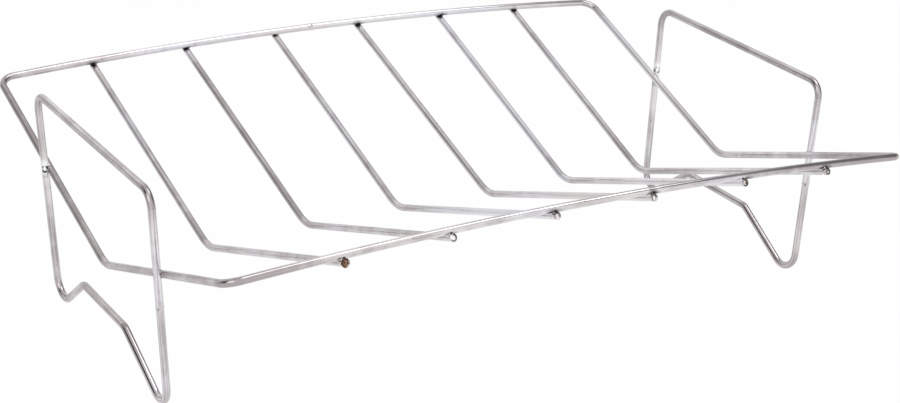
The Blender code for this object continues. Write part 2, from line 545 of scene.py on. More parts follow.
@dataclass(frozen=True)
class CutEnd:
    """How a rod ends where the shears went through it."""

    state: EndState
    # where round the face its torn, dark side is, from the top and towards +X
    torn_side: float = 0.0
    tilt: float = math.radians(6.0)
    # how wide each round of the face is, how far it stands out and how torn it is
    rounds: tuple[tuple[float, float, float], ...] = (
        (0.97, 0.18 * MM, 1.0),
        (0.80, 0.30 * MM, 1.0),
        (0.62, 0.12 * MM, 0.90),
        (0.45, 0.26 * MM, 0.35),
        (0.20, 0.36 * MM, 0.15),
    )

    TORN_ALL_ROUND = 0.82
    TORN_ON_ONE_SIDE = 0.28
    RUST = {
        EndState.BRIGHT: 0.0,
        EndState.YELLOWED: 0.30,
        EndState.STAINED: 0.62,
        EndState.RUSTED: 1.3,
    }
    # for an end that was cut clean, and for the rusted one, which was crushed
    SPREAD = (1.06, 1.24)
    RAGGED = (0.13 * MM, 0.30 * MM)
    RUST_REACH = (2.4 * MM, 3.0 * MM)
    SEEPING_RUST = (0.0, 0.85)

    def torn(self, angle: float, most: float) -> float:
        """Returns how torn the face is at an angle, where most is its round's own value."""
        side = math.cos(angle - self.torn_side)
        return most * (self.TORN_ALL_ROUND + self.TORN_ON_ONE_SIDE * side)

    @property
    def crushed(self) -> bool:
        """Returns whether the shears crushed the end."""
        return self.state is EndState.RUSTED

    @property
    def rust(self) -> float:
        """Returns how rusty the end is."""
        return self.RUST[self.state]

    @property
    def rust_reach(self) -> float:
        """Returns how far the rust spreads from the end."""
        return self.RUST_REACH[self.crushed]

    @property
    def seeping_rust(self) -> float:
        """Returns how much rust has crept from the end into the weld beside it."""
        return self.SEEPING_RUST[self.crushed]

    @property
    def spread(self) -> float:
        """Returns how much the shears mushroomed the last of the rod."""
        return self.SPREAD[self.crushed]

    @property
    def ragged(self) -> float:
        """Returns how far the face's points stray."""
        return self.RAGGED[self.crushed]


@dataclass
class WireMesh:
    """A round wire swept along a middle line, with the marks that its finish reads."""

    COORDINATES = "wire_coordinates"
    # dark marks of heat, with the painted shade in the weld grooves
    HEAT_AND_SHADE = "weld_heat_and_shade"
    BEND = "bend_strain"
    RUST = "rust_amount"
    CUT = "cut_face"
    # brighter or duller plate, painted in place of reflections
    PAINTED_SHEEN = "plate_tone"

    name: str
    points: list[Vector]
    radius: float
    closed: bool
    sides: int = 28
    swells: list[Spot] = field(default_factory=list)
    dents: list[Dent] = field(default_factory=list)
    # heat marks, among them the painted shade in the weld grooves
    heat: list[Spot | Halo] = field(default_factory=list)
    rust: list[Spot] = field(default_factory=list)
    tone: list[Spot] = field(default_factory=list)  # painted sheen in place of reflections: brighter plate, or duller below 0
    ends: tuple[CutEnd, CutEnd] | None = None

    LONG_STEP = 5.0 * MM
    FINE_STEP = 0.45 * MM
    FINE_REACH = 4.5 * MM
    LEAST_STEP = 0.2 * MM
    TIGHT_BEND = 8.0 * MM  # the radius from which a bend counts in full
    SPREAD_REACH = 0.8 * MM  # how far from its end a rod is mushroomed
    RAG_SIZE = 0.8 * MM  # of the unevenness of a cut face
    MOST_HEAT_AND_SHADE = 1.0
    MOST_RUST = 1.6
    TOO_ALIKE = 0.9  # the cosine between two directions that are nearly the same
    SHARP_ANGLE = math.radians(50.0)

    def build(self, finish: bpy.types.Material) -> bpy.types.Object:
        """Makes the wire's object and puts its finish on.

        Args:
            finish: the material of the whole wire.

        Returns:
            The object, linked to the scene and not yet riding on a body.
        """
        line = self._divided()
        tangents = self._tangents(line)
        normals = self._carried_normals(line, tangents)
        strain = self._strain(line, tangents)
        shape = bmesh.new()
        layers = {
            name: shape.verts.layers.float.new(name)
            for name in (self.HEAT_AND_SHADE, self.BEND, self.RUST, self.CUT, self.PAINTED_SHEEN)
        }
        coordinates = shape.verts.layers.float_vector.new(self.COORDINATES)

        def ring(index: int, along: float, factor: float, push: float, cut: float) -> Round:
            """Adds one round of vertices.

            Args:
                index: the point of the middle line that it goes round.
                along: how far along the wire it is.
                factor: how wide it is, as a share of the wire.
                push: how far it is moved along the wire.
                cut: how torn a cut face is there, or 0 off such a face.

            Returns:
                The vertices, in order round the wire.
            """
            centre, tangent, normal = line[index], tangents[index], normals[index]
            end = self.ends[0 if index == 0 else 1] if cut else None
            side = tangent.cross(normal)
            swell = 1.0 + sum(spot.at(centre) for spot in self.swells)
            tone = sum(spot.at(centre) for spot in self.tone)
            made = []
            for step in range(self.sides):
                angle = math.tau * step / self.sides
                out = normal * math.cos(angle) + side * math.sin(angle)
                point = centre + out * self.radius * factor * swell + tangent * push
                if end:
                    slant = self.radius * factor * math.cos(angle) * math.tan(end.tilt)
                    stray = end.ragged * noise.noise(point / self.RAG_SIZE)
                    point += tangent * (slant + stray)
                for dent in self.dents:
                    point = point + dent.shift(point)
                vert = shape.verts.new(point)
                vert[coordinates] = (
                    self.radius * math.cos(angle) * factor,
                    self.radius * math.sin(angle) * factor,
                    along,
                )
                heat = sum(mark.at(point) for mark in self.heat)
                rust = sum(spot.at(point) for spot in self.rust)
                vert[layers[self.HEAT_AND_SHADE]] = min(self.MOST_HEAT_AND_SHADE, heat)
                vert[layers[self.RUST]] = min(self.MOST_RUST, rust)
                vert[layers[self.BEND]] = strain[index]
                vert[layers[self.PAINTED_SHEEN]] = tone
                vert[layers[self.CUT]] = end.torn(angle, cut) if end else 0.0
                made.append(vert)
            return made

        rings, along = [], 0.0
        for index, point in enumerate(line):
            if index:
                along += (point - line[index - 1]).length
            factor = self._end_factor(line, index)
            rings.append(ring(index, along, factor, 0.0, 0.0))
        if self.closed:
            rings.append(rings[0])
        else:
            rings = self._face(ring, 0, 0.0)[::-1] + rings
            rings += self._face(ring, len(line) - 1, along)
        for before, after in zip(rings, rings[1:]):
            for step in range(self.sides):
                following = (step + 1) % self.sides
                shape.faces.new(
                    (before[step], before[following], after[following], after[step])
                )
        if not self.closed:
            for rim, turned in ((rings[0], True), (rings[-1], False)):
                middle = shape.verts.new(sum((v.co for v in rim), Vector()) / len(rim))
                for mark in (self.CUT, self.RUST, self.HEAT_AND_SHADE):
                    middle[layers[mark]] = rim[0][layers[mark]]
                middle[coordinates] = (0.0, 0.0, rim[0][coordinates][2])
                for step in range(self.sides):
                    pair = (rim[step], rim[(step + 1) % self.sides])
                    shape.faces.new((*(pair[::-1] if turned else pair), middle))
        return object_from(shape, self.name, finish, self.SHARP_ANGLE)

    def _face(
        self,
        ring: Callable[[int, float, float, float, float], Round],
        index: int,
        along: float,
    ) -> list[Round]:
        """Adds the rounds of vertices across a cut end.

        Args:
            ring: what adds one round.
            index: the first or the last point of the middle line.
            along: how far along the wire that is.

        Returns:
            The rounds, from the rim inwards.
        """
        end = self.ends[0 if index == 0 else 1]
        outward = -1.0 if index == 0 else 1.0
        return [
            ring(index, along, end.spread * factor, outward * push, cut)
            for factor, push, cut in end.rounds
        ]

    def _end_factor(self, line: list[Vector], index: int) -> float:
        """Finds how much the shears have spread the wire.

        Args:
            line: the middle line.
            index: which of its points is meant.

        Returns:
            How wide the wire is there, as a share of its own width.
        """
        if not self.ends:
            return 1.0
        start = (line[index] - line[0]).length
        finish = (line[index] - line[-1]).length
        first, last = self.ends
        return (
            1.0
            + (first.spread - 1.0) * math.exp(-((start / self.SPREAD_REACH) ** 2))
            + (last.spread - 1.0) * math.exp(-((finish / self.SPREAD_REACH) ** 2))
        )

    def _divided(self) -> list[Vector]:
        """Divides the middle line.

        Returns:
            Its points, which are close together where something shows.
        """
        marks = [dent.place for dent in self.dents] + [spot.place for spot in self.swells]
        if self.ends:
            marks += [self.points[0], self.points[-1]]
        ends = self.points[1:] + (self.points[:1] if self.closed else [])
        line = []
        for start, end in zip(self.points, ends):
            span, gone = (end - start).length, 0.0
            line.append(start)
            while True:
                here = start.lerp(end, gone / span)
                near = min(((here - mark).length for mark in marks), default=math.inf)
                step = self.FINE_STEP if near < self.FINE_REACH else self.LONG_STEP
                step = min(step, max(self.FINE_STEP, near - self.FINE_REACH + self.FINE_STEP))
                gone += step
                if gone > span - 0.5 * step:
                    break
                line.append(start.lerp(end, gone / span))
        if not self.closed:
            line.append(self.points[-1])
        return line

    def _tangents(self, line: list[Vector]) -> list[Vector]:
        """Finds which way the wire runs.

        Args:
            line: the middle line.

        Returns:
            The wire's direction at each point.
        """
        count = len(line)
        found = []
        for index in range(count):
            if self.closed:
                before, after = line[index - 1], line[(index + 1) % count]
            else:
                before, after = line[max(index - 1, 0)], line[min(index + 1, count - 1)]
            found.append((after - before).normalized())
        return found

    def _carried_normals(self, line: list[Vector], tangents: list[Vector]) -> list[Vector]:
        """Carries a normal along the wire.

        Args:
            line: the middle line.
            tangents: the wire's direction at each point.

        Returns:
            The normal at each point, which turns round the wire as little as it can.
        """
        first = Vector((0.0, 0.0, 1.0))
        if abs(first.dot(tangents[0])) > self.TOO_ALIKE:
            first = Vector((0.0, 1.0, 0.0))
        first = (first - tangents[0] * first.dot(tangents[0])).normalized()
        normals = [first]
        for before, after in zip(tangents, tangents[1:]):
            normals.append((before.rotation_difference(after) @ normals[-1]).normalized())
        if not self.closed:
            return normals
        back = tangents[-1].rotation_difference(tangents[0]) @ normals[-1]
        twist = math.atan2(back.cross(first).dot(tangents[0]), back.dot(first))
        return [
            Matrix.Rotation(twist * index / len(line), 3, tangents[index]) @ normal
            for index, normal in enumerate(normals)
        ]

    def _strain(self, line: list[Vector], tangents: list[Vector]) -> list[float]:
        """Finds how hard the wire is bent.

        Args:
            line: the middle line.
            tangents: the wire's direction at each point.

        Returns:
            The bending at each point, from 0 to 1.
        """
        count = len(line)
        raw = []
        for index in range(count):
            after = (index + 1) % count
            if not self.closed and after == 0:
                raw.append(0.0)
                continue
            step = max((line[after] - line[index]).length, self.LEAST_STEP)
            raw.append(tangents[index].angle(tangents[after], 0.0) / step)
        tight = 1.0 / self.TIGHT_BEND
        return [min(1.0, value / tight) for value in raw]


@dataclass(frozen=True)
class Crossing:
    """A resistance weld where one wire lies across another."""

    name: str
    under: Vector  # the middle of the wire that carries the weld's far side
    over: Vector
    under_axis: Vector
    over_axis: Vector
    under_radius: float
    over_radius: float
    darkness: float  # how dark its mark is: heat tint, with painted shade in the groove on its front side
    rust: float = 0.0
    # where its mark is darkest, on the front side, as painted shade in the groove between the
    # wires
    charred_and_shaded_side: Vector = Vector((-0.80, -0.60, 0.0)).freeze()

    # the dark mark on both wires, heat tint with painted shade in the groove: how far it spreads,
    # with its darkness, and where its middle is
    DARK_REACH = 1.2 * MM
    DARK_GROWTH = 0.5 * MM
    DARK_AMOUNT = 1.2
    DARK_ASIDE = 1.1 * MM
    DARK_UP = 0.4 * MM
    # the rust that seeps out to the front
    SEEP = Vector((0.0, -1.2 * MM, 0.0)).freeze()
    SEEP_REACH = 2.4 * MM
    # the collar of flash
    STEPS = 44
    ARC = 7
    LEAST_REACH = 0.9 * MM
    MOST_REACH = 2.6 * MM
    REACH_STEP = 0.05 * MM
    OPENING = 0.50 * MM  # how wide the groove is where the collar ends
    OPENING_RAG = 0.55
    BULGE = 0.30 * MM
    BULGE_RAG = 0.9
    SKIN = 0.1 * MM
    LAP = 0.12 * MM  # how far it runs into each wire
    ROOT = 0.9 * MM  # how far in its back lies
    ROOT_HEIGHT = 0.3  # of its back, as a share of its front's
    # where the noise for its edge, its bulge and its darkness is read
    SEED_REACH = 1.7
    BULGE_SEED = 1.9
    DARK_SEED = 1.3
    # how the collar's darkness, partly painted shade, is shared out: evenly, to the shaded front
    # side, and by chance
    DARK_SHARES = (0.15, 0.75, 1.1)

    @property
    def normal(self) -> Vector:
        """Returns the direction from the under wire to the over wire."""
        return (self.over - self.under).normalized()

    @property
    def contact(self) -> Vector:
        """Returns the middle of the weld."""
        return self.under + self.normal * (
            self.under_radius * (self.over - self.under).length
            / (self.under_radius + self.over_radius)
        )

    def heat(self) -> Spot:
        """Returns the weld's dark mark: heat tint, with painted shade in the groove on its front
        side.
        """
        # painted shade: the mark's middle is moved to the front side and up into the groove
        place = self.contact + self.charred_and_shaded_side * self.DARK_ASIDE + self.normal * self.DARK_UP
        reach = self.DARK_REACH + self.DARK_GROWTH * self.darkness
        return Spot(place, reach, self.DARK_AMOUNT * self.darkness)

    def rusting(self) -> Spot:
        """Returns the mark of the rust that has crept out of the weld."""
        return Spot(self.contact + self.SEEP, self.SEEP_REACH, self.rust)

    def dent(self) -> Dent:
        """Returns the electrode's dent on the far side of the under wire."""
        return Dent(self.under - self.normal * self.under_radius, -self.normal)

    def _surfaces(self, across: Vector) -> tuple[float, float]:
        """Finds the two wires' facing surfaces.

        Args:
            across: how far from the weld's middle they are looked for, square to the normal.

        Returns:
            Their heights above the middle of the under wire.
        """
        spacing = (self.over - self.under).length
        under_off = across.cross(self.under_axis).length
        over_off = across.cross(self.over_axis).length
        low = math.sqrt(max(0.0, self.under_radius**2 - under_off**2))
        high = spacing - math.sqrt(max(0.0, self.over_radius**2 - over_off**2))
        return low, high

    def _section(self, way: Vector, seed: Vector) -> list[tuple[float, float]]:
        """Shapes the collar in one direction.

        Args:
            way: the direction from the weld's middle, square to the normal.
            seed: where the noise that makes the collar ragged is read.

        Returns:
            How far out and how far up each point of its section is.
        """
        opening = self.OPENING * (1.0 + self.OPENING_RAG * noise.noise(seed))
        reach = self.LEAST_REACH
        while reach < self.MOST_REACH:
            low, high = self._surfaces(way * reach)
            if high - low > opening:
                break
            reach += self.REACH_STEP
        low, high = self._surfaces(way * reach)
        bulge = self.BULGE * (1.0 + self.BULGE_RAG * noise.noise(seed * self.BULGE_SEED))
        middle = 0.5 * (low + high)
        tall = 0.5 * (high - low) + self.LAP
        turns = [math.pi * part / (self.ARC - 1) for part in range(self.ARC)]
        front = [
            (reach - self.SKIN + bulge * math.sin(turn), middle + tall * math.cos(turn))
            for turn in turns
        ]
        return front + [
            (reach - self.ROOT, middle - self.ROOT_HEIGHT * tall),
            (reach - self.ROOT, middle + self.ROOT_HEIGHT * tall),
        ]

    def build(self, finish: bpy.types.Material) -> bpy.types.Object:
        """Makes the flash squeezed out round the weld, a ragged collar in the groove.

        Args:
            finish: the material of the flash.

        Returns:
            The object, linked to the scene and not yet riding on a body.
        """
        normal = self.normal
        across = (self.under_axis - normal * self.under_axis.dot(normal)).normalized()
        other = normal.cross(across)
        shape = bmesh.new()
        heat = shape.verts.layers.float.new(WireMesh.HEAT_AND_SHADE)
        rust = shape.verts.layers.float.new(WireMesh.RUST)
        tone = shape.verts.layers.float.new(WireMesh.PAINTED_SHEEN)
        even, sided, chance = self.DARK_SHARES
        rings = []
        for step in range(self.STEPS):
            angle = math.tau * step / self.STEPS
            way = across * math.cos(angle) + other * math.sin(angle)
            seed = self.contact / MM + way * self.SEED_REACH
            chanced = chance * noise.noise(seed * self.DARK_SEED)
            # painted shade: the collar is darkest on its front side, in the groove
            darkness = self.darkness * (even + sided * way.dot(self.charred_and_shaded_side) + chanced)
            made = []
            for out, up in self._section(way, seed):
                vert = shape.verts.new(self.under + way * out + normal * up)
                vert[heat] = max(0.0, darkness)
                vert[rust] = self.rust
                # painted glint: where the collar is least dark, its colour goes towards the
                # near-white of a highlight
                vert[tone] = 1.0 - darkness
                made.append(vert)
            rings.append(made)
        for before, after in zip(rings, rings[1:] + rings[:1]):
            for index in range(len(before)):
                following = (index + 1) % len(before)
                shape.faces.new(
                    (before[index], after[index], after[following], before[following])
                )
        return object_from(shape, self.name, finish)


@dataclass(frozen=True)
class ButtWeld:
    """Where the two ends of a closed wire are joined: a slight swelling, burnt at one spot."""

    place: Vector
    to_burn: Vector  # from the middle line to the wire's surface
    swelling: float
    burn_reach: float
    darkness: float

    SWELL_REACH = 0.9 * MM

    def swell(self) -> Spot:
        """Returns how the wire is thickened."""
        return Spot(self.place, self.SWELL_REACH, self.swelling)

    def burn(self) -> Spot:
        """Returns the mark of its heat."""
        return Spot(self.place + self.to_burn, self.burn_reach, self.darkness)


# Bent shapes


BEND_STEP = math.radians(4.0)


def left_of(direction: Vector) -> Vector:
    """Returns a 2-D direction turned a quarter to the left."""
    return Vector((-direction.y, direction.x))


def bent_round(pins: list[tuple[Vector, float]]) -> list[list[Vector]]:
    """Lays a closed 2-D path taut round pins.

    Args:
        pins: each pin's centre, and the radius the wire is bent to on it, positive where
            the wire turns left and negative where it turns right.

    Returns:
        The points of the arc at each pin.
    """
    normals = []
    for (start, start_radius), (end, end_radius) in zip(pins, pins[1:] + pins[:1]):
        along = end - start
        across = (end_radius - start_radius) / along.length
        along.normalize()
        normals.append(across * along + math.sqrt(1.0 - across**2) * left_of(along))
    arcs = []
    for index, (centre, radius) in enumerate(pins):
        before, after = normals[index - 1], normals[index]
        turn = math.atan2(before.x * after.y - before.y * after.x, before.dot(after))
        count = max(2, math.ceil(abs(turn) / BEND_STEP))
        arcs.append(
            [
                centre - radius * (Matrix.Rotation(turn * step / count, 2) @ before)
                for step in range(count + 1)
            ]
        )
    return arcs


@dataclass(frozen=True)
class Fold:
    """The V that the ring and the ribs are bent to, with the bow along their length."""

    angle: float = math.radians(19.5)
    radius: float = 20.0 * MM
    height: float = 47.85 * MM
    bow: float = 7.5 * MM
    half_length: float = 201.6 * MM
    steps: int = 16

    def lift(self, x: float) -> float:
        """Returns how much the bow raises the wires at x."""
        return self.bow * (1.0 - (x / self.half_length) ** 2)

    def place(self, x: float, flat_y: float, drop: float = 0.0) -> Vector:
        """Folds a point of the flat blank.

        Args:
            x: its place along the fold.
            flat_y: its distance from the fold on the flat blank, negative to the front.
            drop: how far it is moved square to the V, to the side where the ribs lie.

        Returns:
            Where it lies on the folded rack.
        """
        side = math.copysign(1.0, flat_y)
        run = abs(flat_y)
        turn = min(run / self.radius, self.angle)
        straight = max(0.0, run - self.radius * self.angle)
        outward = (self.radius + drop) * math.sin(turn) + straight * math.cos(self.angle)
        up = (
            self.radius
            - (self.radius + drop) * math.cos(turn)
            + straight * math.sin(self.angle)
        )
        return Vector((x, side * outward, self.height + up + self.lift(x)))

    def stations(self) -> list[float]:
        """Returns flat distances across the arc of the fold."""
        half = self.radius * self.angle
        return [half * (2.0 * step / self.steps - 1.0) for step in range(self.steps + 1)]


# Assemblies


@dataclass
class FrameRing:
    """The wire that is bent to a rounded rectangle and folded across its middle."""

    fold: Fold
    wire_radius: float = 2.0 * MM
    half_flat_depth: float = 159.2 * MM
    corner_radius: float = 8.0 * MM
    waist: float = 2.2 * MM  # how far the fold draws each side bar in
    butt_weld_x: float = -6.0 * MM
    burnt_side: Vector = Vector((-0.4, -0.85, 0.35)).freeze()  # of the butt weld
    rail_step: float = 6.0 * MM
    weld_gap: float = 2.0 * MM  # the line has no other point so near the butt weld
    # painted sheen, brighter or duller plate in place of reflections: x, place on the blank,
    # reach and amount
    painted_sheens: tuple[tuple[float, float, float, float], ...] = (
        (0.195, -0.159, 70 * MM, -0.50),
        (-0.200, 0.100, 60 * MM, -0.70),
        (-0.185, -0.159, 28 * MM, -0.40),
        (-0.030, -0.159, 90 * MM, 0.20),
        (0.040, 0.159, 140 * MM, 0.75),
        (0.200, 0.075, 50 * MM, 0.65),
        (-0.200, -0.060, 60 * MM, -0.40),
        (0.200, -0.030, 50 * MM, -0.15),
    )

    def side_bar_x(self, flat_y: float) -> float:
        """Returns how far out from the middle a side bar is, for a place on the blank."""
        to_corner = self.half_flat_depth - self.corner_radius
        return self.fold.half_length - self.waist * (1.0 - abs(flat_y) / to_corner)

    def side_bar(self, y: float) -> Vector:
        """Finds the right-hand side bar.

        Args:
            y: where, away from the fold's arc.

        Returns:
            The middle of the bar there.
        """
        beyond = abs(y) - self.fold.radius * math.sin(self.fold.angle)
        run = self.fold.radius * self.fold.angle + beyond / math.cos(self.fold.angle)
        run = math.copysign(run, y)
        return self.fold.place(self.side_bar_x(run), run)

    def line(self) -> list[Vector]:
        """Draws the ring.

        Returns:
            The middle line, from the butt weld in the rear rail and to the left.
        """
        x = self.fold.half_length - self.corner_radius
        y = self.half_flat_depth - self.corner_radius
        corners = [Vector((-x, y)), Vector((-x, -y)), Vector((x, -y)), Vector((x, y))]
        rear_left, front_left, front_right, rear_right = bent_round(
            [(corner, self.corner_radius) for corner in corners]
        )
        count = round(2.0 * x / self.rail_step)
        rail = [x * (2.0 * step / count - 1.0) for step in range(1, count)]
        weld, gap = self.butt_weld_x, self.weld_gap
        stations = self.fold.stations()
        flat = [(weld, self.half_flat_depth)]
        flat += [(p, self.half_flat_depth) for p in reversed(rail) if p < weld - gap]
        flat += [tuple(point) for point in rear_left]
        flat += [(-self.side_bar_x(station), -station) for station in stations]
        flat += [tuple(point) for point in front_left]
        flat += [(p, -self.half_flat_depth) for p in rail]
        flat += [tuple(point) for point in front_right]
        flat += [(self.side_bar_x(station), station) for station in stations]
        flat += [tuple(point) for point in rear_right]
        flat += [(p, self.half_flat_depth) for p in reversed(rail) if p > weld + gap]
        return [self.fold.place(across, along) for across, along in flat]

    def butt_weld(self) -> ButtWeld:
        """Returns the weld that closes the ring, in its rear rail."""
        place = self.fold.place(self.butt_weld_x, self.half_flat_depth)
        to_burn = self.burnt_side * self.wire_radius
        return ButtWeld(place, to_burn, swelling=0.10, burn_reach=0.8 * MM, darkness=0.6)

    def build(self, finish: bpy.types.Material, crossings: list[Crossing]) -> bpy.types.Object:
        """Makes the ring.

        Args:
            finish: the plating of the ring.
            crossings: the welds on it, the ring being the over wire of each.

        Returns:
            The ring's object.
        """
        butt_weld = self.butt_weld()
        mesh = WireMesh(
            "ring_wire",
            self.line(),
            self.wire_radius,
            closed=True,
            swells=[butt_weld.swell()],
            heat=[crossing.heat() for crossing in crossings] + [butt_weld.burn()],
            rust=[crossing.rusting() for crossing in crossings if crossing.rust],
            tone=[
                Spot(self.fold.place(x, flat_y), reach, amount)
                for x, flat_y, reach, amount in self.painted_sheens
            ],
        )
        made = mesh.build(finish)
        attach(made, "root")
        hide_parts("frame_ring")
        return made


@dataclass
class Rib:
    """A straight rod, folded to the ring's V and welded under both of its rails."""

    number: int
    fold: Fold
    ring: FrameRing
    front_end: CutEnd
    wander: tuple[float, float, float]  # off its even place, at the rear, fold and front
    fold_sag: float
    rear_painted_sheen: float  # how much painted sheen brightens its rear arm, or dulls it below 0
    front_painted_sheen: float
    wire_radius: float = 1.9 * MM
    pitch: float = 57.0 * MM
    count: int = 6
    overhang: float = 3.0 * MM
    set_down: float = 0.5 * MM
    # how dark the welds' marks are, and the side each one darkens: heat tint, with painted shade
    # in the groove on the front side
    front_char_and_shade: float = 1.40
    rear_char_and_shade: float = 1.60
    front_charred_and_shaded_side: Vector = Vector((0.85, -0.53, 0.0)).freeze()
    rear_charred_and_shaded_side: Vector = Vector((-0.80, -0.60, 0.0)).freeze()

    @property
    def name(self) -> str:
        """Returns the name of the rib's solid."""
        return f"rib_{self.number + 1}"

    @property
    def drop(self) -> float:
        """Returns how far below the ring's middle line the rib's runs."""
        return self.ring.wire_radius + self.wire_radius - self.set_down

    def place(self, flat_y: float, drop: float) -> Vector:
        """Finds a point on the rib's own plane.

        Args:
            flat_y: its place on the flat blank.
            drop: how far below the ring's middle line it is, square to the V.

        Returns:
            The point.
        """
        even = self.pitch * (self.number - (self.count - 1) / 2.0)
        rear, middle, front = (even + wander for wander in self.wander)
        share = abs(flat_y) / self.ring.half_flat_depth
        end = rear if flat_y > 0.0 else front
        point = self.fold.place(middle + (end - middle) * share, flat_y, drop)
        point.z -= self.fold_sag * (1.0 - share)
        return point

    def line(self) -> list[Vector]:
        """Draws the rib.

        Returns:
            The middle line, from the front end to the rear end.
        """
        end = self.ring.half_flat_depth + self.overhang
        stations = [-end, *self.fold.stations(), end]
        return [self.place(station, self.drop) for station in stations]

    def painted_sheens(self) -> list[Spot]:
        """Finds where painted sheen makes the plate brighter, or duller below 0.

        Returns:
            The spots, from the rear end to the front arm.
        """
        end = self.ring.half_flat_depth + self.overhang
        # place on the blank, reach and amount
        spots = (
            (end, 25 * MM, 0.30),
            (0.080, 70 * MM, self.rear_painted_sheen),
            (0.0, 40 * MM, -0.20),
            (-0.100, 70 * MM, self.front_painted_sheen),
        )
        return [Spot(self.place(y, self.drop), reach, amount) for y, reach, amount in spots]

    def crossings(self) -> list[Crossing]:
        """Finds the rib's welds.

        Returns:
            The weld on the front rail and the one on the rear rail.
        """
        found = []
        for rail in (Rail.FRONT, Rail.REAR):
            flat_y = rail.value * self.ring.half_flat_depth
            under, over = self.place(flat_y, self.drop), self.place(flat_y, 0.0)
            # a second point on each wire, which gives its direction
            inner = self.place(flat_y * 0.9, self.drop)
            beside = self.fold.place(over.x + 1.0 * MM, flat_y)
            found.append(
                Crossing(
                    f"{self.name}_{rail.name.lower()}_weld",
                    under,
                    over,
                    (under - inner).normalized(),
                    (beside - over).normalized(),
                    self.wire_radius,
                    self.ring.wire_radius,
                    self.rear_char_and_shade if rail is Rail.REAR else self.front_char_and_shade,
                    self.front_end.seeping_rust if rail is Rail.FRONT else 0.0,
                    self.rear_charred_and_shaded_side if rail is Rail.REAR else self.front_charred_and_shaded_side,
                )
            )
        return found

    def build(self, finish: bpy.types.Material) -> bpy.types.Object:
        """Makes the rib.

        Args:
            finish: the plating of the ribs.

        Returns:
            The rib's object.
        """
        line = self.line()
        crossings = self.crossings()
        front = self.front_end
        mesh = WireMesh(
            f"{self.name}_wire",
            line,
            self.wire_radius,
            closed=False,
            dents=[crossing.dent() for crossing in crossings],
            heat=[crossing.heat() for crossing in crossings],
            rust=[Spot(line[0], front.rust_reach, front.rust)],
            tone=self.painted_sheens(),
            ends=(front, CutEnd(EndState.BRIGHT)),
        )
        made = mesh.build(finish)
        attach(made, "root")
        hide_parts(self.name)
        return made


